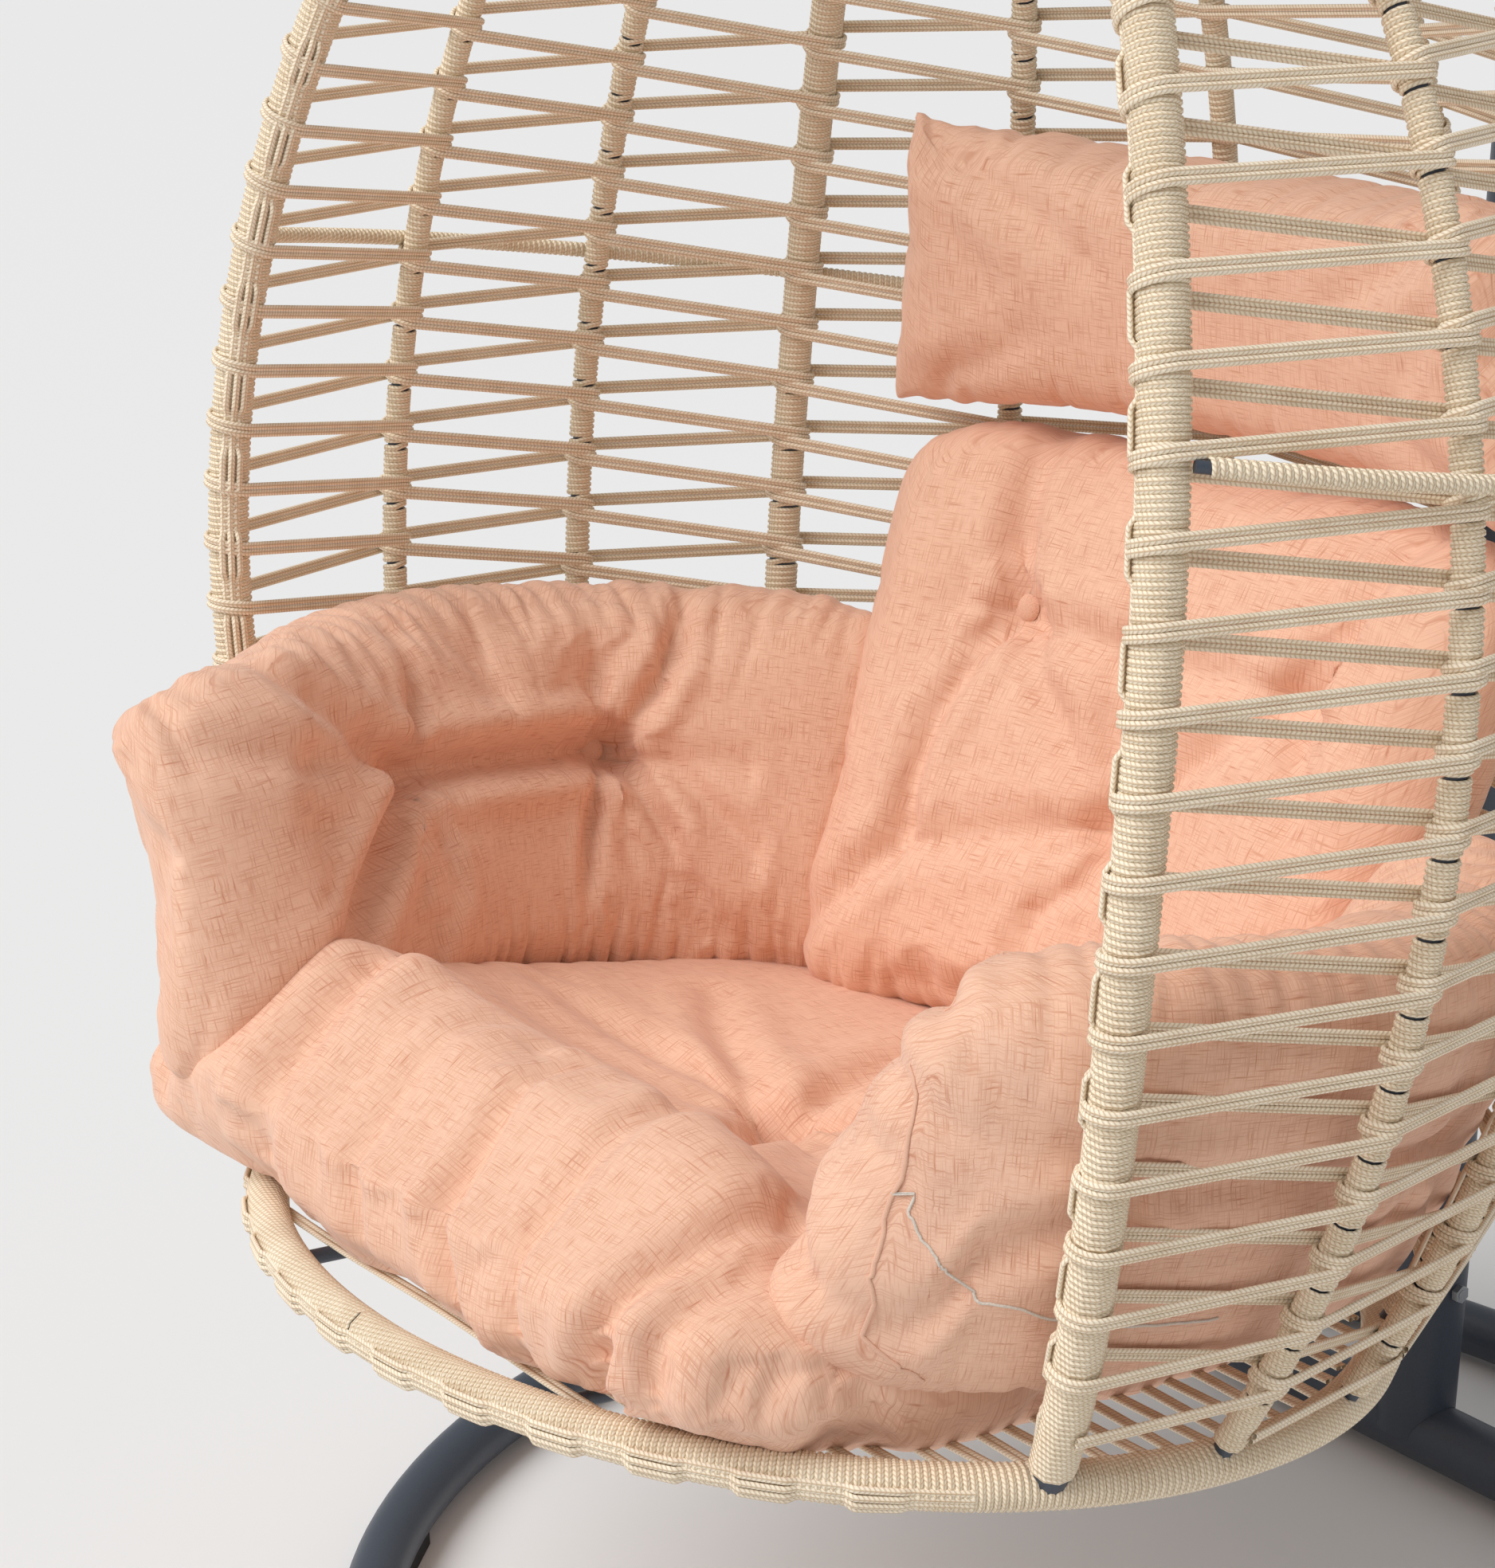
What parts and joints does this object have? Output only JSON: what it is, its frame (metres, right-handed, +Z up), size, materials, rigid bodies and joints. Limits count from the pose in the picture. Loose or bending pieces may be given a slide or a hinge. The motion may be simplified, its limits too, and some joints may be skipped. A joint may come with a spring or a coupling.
{
  "type": "hanging egg chair",
  "caption": "Rope-woven egg-shaped basket seat with loose cushions, hung by a spring and swivel from an arched tube stand on a round floor ring.",
  "frame": {"origin": "on the floor, at the middle of the bounding box's base: midway between the basket's front edge and the back of the base ring", "axes": "+Z up, +Y towards the post at the back (the chair faces -Y), +X to the right of someone facing the chair's front"},
  "size_m": [1.07, 1.1194, 1.9389],
  "materials": {
    "powder_coat": "satin",
    "zinc_steel": "satin",
    "rope": "matte",
    "cushion_fabric": "matte",
    "pad_rubber": "matte",
    "cap_plastic": "matte"
  },
  "bodies": {
    "stand": {"base_ring_left": "powder_coat", "base_ring_right": "powder_coat", "base_ring_sleeves": "powder_coat", "cross_tube": "powder_coat", "foot_pads": "pad_rubber", "post_socket": "powder_coat", "post_lower": "powder_coat", "post_spigot": "powder_coat", "post_arch": "powder_coat", "arch_end_cap": "cap_plastic", "post_bolts": "zinc_steel", "post_nuts": "zinc_steel", "hanger_eye_bolt": "zinc_steel", "hanger_nut": "zinc_steel"},
    "link": {"hanger_link": "zinc_steel"},
    "swivel": {"swivel_eye": "zinc_steel"},
    "stem": {"swivel_stem": "zinc_steel", "hanger_spring": "powder_coat"},
    "basket": {"arm_cushion_left": "cushion_fabric", "arm_cushion_right": "cushion_fabric", "back_cushion": "cushion_fabric", "basket_bail": "powder_coat", "bottom_ring": "powder_coat", "crown_hub": "powder_coat", "cushion_buttons": "cushion_fabric", "floor_bars": "powder_coat", "head_pillow": "cushion_fabric", "middle_hoop": "powder_coat", "rib_left_1": "powder_coat", "rib_left_2": "powder_coat", "rib_left_3": "powder_coat", "rib_left_4": "powder_coat", "rib_left_5": "powder_coat", "rib_right_1": "powder_coat", "rib_right_2": "powder_coat", "rib_right_3": "powder_coat", "rib_right_4": "powder_coat", "rib_right_5": "powder_coat", "rim_left": "powder_coat", "rim_right": "powder_coat", "rope_wrap_hoop": "rope", "rope_wrap_left": "rope", "rope_wrap_right": "rope", "rope_wrap_ring": "rope", "seat_cushion": "cushion_fabric", "spring_plug": "zinc_steel", "weave_back": "rope", "weave_floor": "rope", "weave_rib_left_1": "rope", "weave_rib_left_2": "rope", "weave_rib_left_3": "rope", "weave_rib_left_4": "rope", "weave_rib_right_1": "rope", "weave_rib_right_2": "rope", "weave_rib_right_3": "rope", "weave_rib_right_4": "rope", "weave_rim_left": "rope", "weave_rim_right": "rope"}
  },
  "joints": [
    {"name": "side_sway", "type": "hinge", "parent": "stand", "child": "link", "pos_m": [0, -0.08677, 1.8348], "axis": [0, 1, 0], "range_deg": [-7, 7]},
    {"name": "fore_aft_swing", "type": "hinge", "parent": "link", "child": "swivel", "pos_m": [0, -0.08677, 1.7888], "axis": [1, 0, 0], "range_deg": [-14, 4]},
    {"name": "swivel_turn", "type": "hinge", "parent": "swivel", "child": "stem", "pos_m": [0, -0.08677, 1.7388], "axis": [0, 0, 1], "range_deg": [-25, 25]},
    {"name": "spring_bounce", "type": "slide", "parent": "stem", "child": "basket", "axis": [0, 0, 1], "range_m": [-0.06, 0.012], "stiffness_N_per_m": 14000, "springref_m": 0.03039, "deforming": ["hanger_spring"]}
  ]
}
